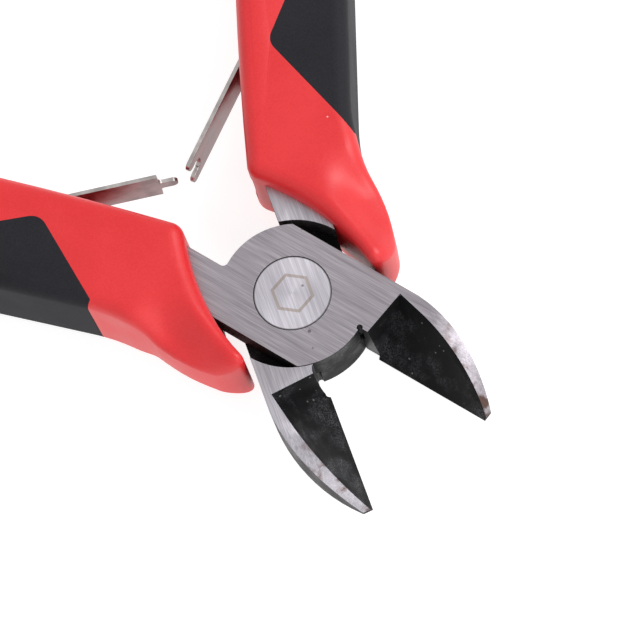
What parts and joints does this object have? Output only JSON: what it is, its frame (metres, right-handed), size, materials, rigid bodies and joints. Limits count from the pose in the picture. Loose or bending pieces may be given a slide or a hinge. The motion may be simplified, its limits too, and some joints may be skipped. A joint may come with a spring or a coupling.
{
  "type": "diagonal cutting pliers",
  "caption": "Compact diagonal cutting pliers with a riveted lap joint, soft-inlaid moulded grips and leaf return springs meeting between the handles.",
  "frame": {"origin": "centre of the joint's flush back face, on the pivot axis", "axes": "+Z along the pivot axis towards the rivet's head, +Y along the bisector of the open jaws towards their tips, +X completes the right-handed set"},
  "size_m": [0.1154, 0.1119, 0.0125],
  "materials": {
    "forged_steel": "forged tool steel with black-oxide hollows; joint faces and jaw bevels ground with fine parallel lines",
    "rivet_steel": "brushed bright steel head, ground flush",
    "red_grip": "satin moulded plastic with a fine grain",
    "black_inlay": "matt soft rubber with a fine texture",
    "spring_steel": "tempered strip steel, brownish face and bright edges",
    "pin_steel": "plain drawn wire"
  },
  "bodies": {
    "front_lever": {"front_half": "forged_steel", "front_sleeve": "red_grip", "front_inlay": "black_inlay", "front_spring_pin": "pin_steel"},
    "back_lever": {"back_half": "forged_steel", "back_sleeve": "red_grip", "back_inlay": "black_inlay", "back_spring_pin": "pin_steel", "pivot_rivet": "rivet_steel"},
    "tongue_leaf": {"tongue_spring": "spring_steel"},
    "fork_leaf": {"fork_spring": "spring_steel"}
  },
  "joints": [
    {"name": "pivot", "type": "hinge", "parent": "front_lever", "child": "back_lever", "pos_m": [0, 0, 0], "axis": [0, 0, 1], "range_deg": [-2, 37.3], "stiffness_Nm_per_rad": 0.6},
    {"name": "tongue_hinge", "type": "hinge", "parent": "front_lever", "child": "tongue_leaf", "pos_m": [0.01864, -0.03043, 0.0035], "axis": [0, 0, 1], "range_deg": [-21.2, 1.4]},
    {"name": "fork_hinge", "type": "hinge", "parent": "back_lever", "child": "fork_leaf", "pos_m": [-0.01864, -0.03043, 0.0035], "axis": [0, 0, 1], "range_deg": [-1.4, 21.2]}
  ],
  "couplings": [
    {"joint": "tongue_hinge", "follows": "pivot", "ratio": -0.559},
    {"joint": "fork_hinge", "follows": "pivot", "ratio": 0.559}
  ]
}
